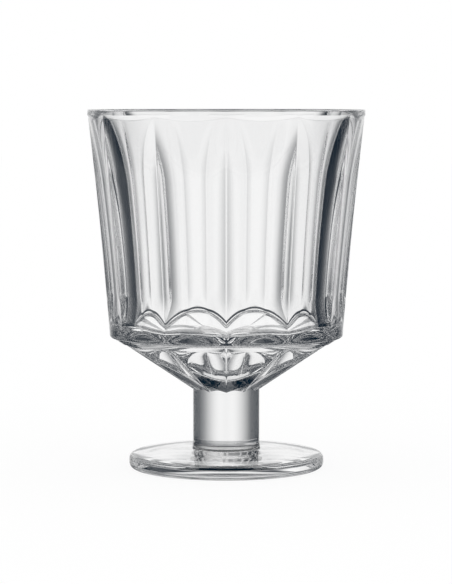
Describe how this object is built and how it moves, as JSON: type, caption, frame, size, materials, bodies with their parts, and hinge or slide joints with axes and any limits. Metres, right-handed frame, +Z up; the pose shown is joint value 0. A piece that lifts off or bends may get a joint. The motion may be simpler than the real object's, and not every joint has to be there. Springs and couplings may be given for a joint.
{
  "type": "parfait glass",
  "caption": "Short-stemmed parfait glass in thick clear pressed glass: a flared bowl with tall concave flutes and a fluted underside, a solid round stem and a disc foot.",
  "frame": {"origin": "on the table plane, under the middle of the foot", "axes": "+Z up along the glass's axis, from the foot to the mouth; -Y is the side that the picture faces, with a ridge of the bowl in the middle"},
  "size_m": [0.0896, 0.0896, 0.116],
  "materials": {
    "bowl_glass": "clear soda-lime glass, pressed and fire-polished",
    "stem_glass": "clear soda-lime glass, pressed and fire-polished",
    "foot_glass": "clear soda-lime glass, pressed and fire-polished"
  },
  "bodies": {
    "root": {"bowl": "bowl_glass", "stem": "stem_glass", "foot": "foot_glass"}
  },
  "joints": []
}
